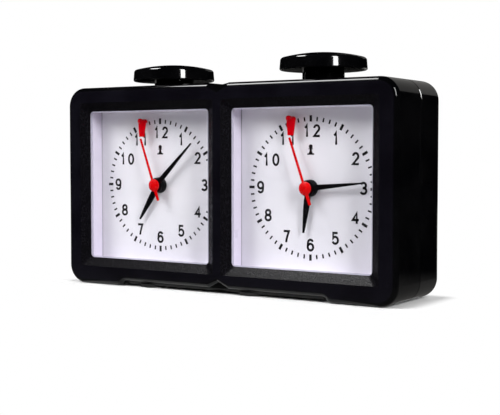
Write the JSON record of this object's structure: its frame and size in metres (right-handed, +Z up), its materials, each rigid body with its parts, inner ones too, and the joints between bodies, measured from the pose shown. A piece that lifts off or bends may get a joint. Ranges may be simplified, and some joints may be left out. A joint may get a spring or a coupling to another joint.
{
  "type": "chess clock",
  "caption": "Analogue chess clock: black moulded case with two framed dials, linked push buttons on top, red fall flags, setting knobs and a battery door behind.",
  "frame": {"origin": "centre of the footprint on the table, at the underside of the moulded feet", "axes": "+X to the right as the dials are read, along the two dials; +Y from the dials to the back; +Z up"},
  "size_m": [0.1596, 0.04, 0.0972],
  "materials": {
    "case_black": "glossy moulded",
    "lens_clear": "clear polished",
    "tray_white": "satin moulded",
    "dial_white": "matt printed",
    "hand_black": "satin paint",
    "signal_red": "glossy",
    "gear_white": "natural moulded",
    "movement_grey": "matt moulded",
    "steel": "bright",
    "brass": "bright",
    "copper_wire": "enamelled wire",
    "board_green": "solder mask",
    "pad_rubber": "matt",
    "rocker_grey": "satin moulded",
    "battery_case": "plain printed sleeve"
  },
  "bodies": {
    "root": {"front_casing": "case_black", "rear_casing": "case_black", "casing_screws": "steel", "foot_pads": "pad_rubber", "inner_screws": "steel", "dial_nuts": "hand_black", "flag_pins": "signal_red", "rocker_pin": "steel", "detent_spring": "steel", "switch_contacts": "brass", "battery": "battery_case", "battery_contacts": "steel", "left_lens": "lens_clear", "left_dial_surround": "tray_white", "left_dial_plate": "dial_white", "left_movement_front": "movement_grey", "left_middle_plate": "gear_white", "left_movement_cover": "movement_grey", "left_circuit_board": "board_green", "left_coil": "copper_wire", "left_stator": "steel", "right_lens": "lens_clear", "right_dial_surround": "tray_white", "right_dial_plate": "dial_white", "right_movement_front": "movement_grey", "right_middle_plate": "gear_white", "right_movement_cover": "movement_grey", "right_circuit_board": "board_green", "right_coil": "copper_wire", "right_stator": "steel"},
    "battery_door": {"battery_door": "case_black"},
    "rocker": {"rocker": "rocker_grey"},
    "left_button": {"left_button": "case_black"},
    "left_flag": {"left_flag": "signal_red"},
    "left_seconds": {"left_second_hand": "signal_red", "left_second_wheel": "gear_white"},
    "left_rotor": {"left_rotor": "steel"},
    "left_intermediate": {"left_intermediate_wheel": "gear_white"},
    "left_third": {"left_third_wheel": "gear_white"},
    "left_centre": {"left_centre_wheel": "gear_white"},
    "left_minutes": {"left_minute_hand": "hand_black", "left_cannon_pinion": "brass"},
    "left_setting": {"left_minute_wheel": "gear_white", "left_setting_knob": "case_black"},
    "left_hours": {"left_hour_hand": "hand_black", "left_hour_wheel": "gear_white"},
    "right_button": {"right_button": "case_black"},
    "right_flag": {"right_flag": "signal_red"},
    "right_seconds": {"right_second_hand": "signal_red", "right_second_wheel": "gear_white"},
    "right_rotor": {"right_rotor": "steel"},
    "right_intermediate": {"right_intermediate_wheel": "gear_white"},
    "right_third": {"right_third_wheel": "gear_white"},
    "right_centre": {"right_centre_wheel": "gear_white"},
    "right_minutes": {"right_minute_hand": "hand_black", "right_cannon_pinion": "brass"},
    "right_setting": {"right_minute_wheel": "gear_white", "right_setting_knob": "case_black"},
    "right_hours": {"right_hour_hand": "hand_black", "right_hour_wheel": "gear_white"}
  },
  "joints": [
    {"name": "left_second_spin", "type": "hinge", "parent": "root", "child": "left_seconds", "pos_m": [-0.0372, 0, 0.0434], "axis": [0, 1, 0], "continuous": true},
    {"name": "left_rotor_spin", "type": "hinge", "parent": "root", "child": "left_rotor", "pos_m": [-0.0248, 0, 0.04432], "axis": [0, 1, 0], "continuous": true},
    {"name": "left_intermediate_spin", "type": "hinge", "parent": "root", "child": "left_intermediate", "pos_m": [-0.0275, 0, 0.049], "axis": [0, 1, 0], "continuous": true},
    {"name": "left_third_spin", "type": "hinge", "parent": "root", "child": "left_third", "pos_m": [-0.048, 0, 0.0434], "axis": [0, 1, 0], "continuous": true},
    {"name": "left_centre_spin", "type": "hinge", "parent": "root", "child": "left_centre", "pos_m": [-0.0372, 0, 0.0434], "axis": [0, 1, 0], "continuous": true},
    {"name": "left_minute_spin", "type": "hinge", "parent": "root", "child": "left_minutes", "pos_m": [-0.0372, 0, 0.0434], "axis": [0, 1, 0], "continuous": true},
    {"name": "left_setting_spin", "type": "hinge", "parent": "root", "child": "left_setting", "pos_m": [-0.0372, 0, 0.03092], "axis": [0, 1, 0], "continuous": true},
    {"name": "left_hour_spin", "type": "hinge", "parent": "root", "child": "left_hours", "pos_m": [-0.0372, 0, 0.0434], "axis": [0, 1, 0], "continuous": true},
    {"name": "left_flag_swing", "type": "hinge", "parent": "root", "child": "left_flag", "pos_m": [-0.0451, 0, 0.0709], "axis": [0, -1, 0], "range_deg": [0, 78]},
    {"name": "right_second_spin", "type": "hinge", "parent": "root", "child": "right_seconds", "pos_m": [0.0372, 0, 0.0434], "axis": [0, 1, 0], "continuous": true},
    {"name": "right_rotor_spin", "type": "hinge", "parent": "root", "child": "right_rotor", "pos_m": [0.0496, 0, 0.04432], "axis": [0, 1, 0], "continuous": true},
    {"name": "right_intermediate_spin", "type": "hinge", "parent": "root", "child": "right_intermediate", "pos_m": [0.0469, 0, 0.049], "axis": [0, 1, 0], "continuous": true},
    {"name": "right_third_spin", "type": "hinge", "parent": "root", "child": "right_third", "pos_m": [0.0264, 0, 0.0434], "axis": [0, 1, 0], "continuous": true},
    {"name": "right_centre_spin", "type": "hinge", "parent": "root", "child": "right_centre", "pos_m": [0.0372, 0, 0.0434], "axis": [0, 1, 0], "continuous": true},
    {"name": "right_minute_spin", "type": "hinge", "parent": "root", "child": "right_minutes", "pos_m": [0.0372, 0, 0.0434], "axis": [0, 1, 0], "continuous": true},
    {"name": "right_setting_spin", "type": "hinge", "parent": "root", "child": "right_setting", "pos_m": [0.0372, 0, 0.03092], "axis": [0, 1, 0], "continuous": true},
    {"name": "right_hour_spin", "type": "hinge", "parent": "root", "child": "right_hours", "pos_m": [0.0372, 0, 0.0434], "axis": [0, 1, 0], "continuous": true},
    {"name": "right_flag_swing", "type": "hinge", "parent": "root", "child": "right_flag", "pos_m": [0.0293, 0, 0.0709], "axis": [0, -1, 0], "range_deg": [0, 78]},
    {"name": "rocker_tilt", "type": "hinge", "parent": "root", "child": "rocker", "pos_m": [0, 0, 0.074], "axis": [0, 1, 0], "range_deg": [0, 3.08]},
    {"name": "left_button_travel", "type": "slide", "parent": "root", "child": "left_button", "axis": [0, 0, 1], "range_m": [0, 0.002]},
    {"name": "right_button_travel", "type": "slide", "parent": "root", "child": "right_button", "axis": [0, 0, 1], "range_m": [-0.002, 0]},
    {"name": "battery_door_swing", "type": "hinge", "parent": "root", "child": "battery_door", "pos_m": [0, 0.0189, 0.0059], "axis": [-1, 0, 0], "range_deg": [0, 80]}
  ],
  "couplings": [
    {"joint": "left_intermediate_spin", "follows": "left_second_spin", "ratio": -6},
    {"joint": "left_rotor_spin", "follows": "left_second_spin", "ratio": 30},
    {"joint": "left_third_spin", "follows": "left_second_spin", "ratio": -0.13333},
    {"joint": "left_centre_spin", "follows": "left_second_spin", "ratio": 0.016667},
    {"joint": "left_setting_spin", "follows": "left_minute_spin", "ratio": -0.33333},
    {"joint": "left_hour_spin", "follows": "left_minute_spin", "ratio": 0.083333},
    {"joint": "right_intermediate_spin", "follows": "right_second_spin", "ratio": -6},
    {"joint": "right_rotor_spin", "follows": "right_second_spin", "ratio": 30},
    {"joint": "right_third_spin", "follows": "right_second_spin", "ratio": -0.13333},
    {"joint": "right_centre_spin", "follows": "right_second_spin", "ratio": 0.016667},
    {"joint": "right_setting_spin", "follows": "right_minute_spin", "ratio": -0.33333},
    {"joint": "right_hour_spin", "follows": "right_minute_spin", "ratio": 0.083333},
    {"joint": "left_button_travel", "follows": "rocker_tilt", "m_per_rad": 0.0372},
    {"joint": "right_button_travel", "follows": "rocker_tilt", "m_per_rad": -0.0372}
  ]
}
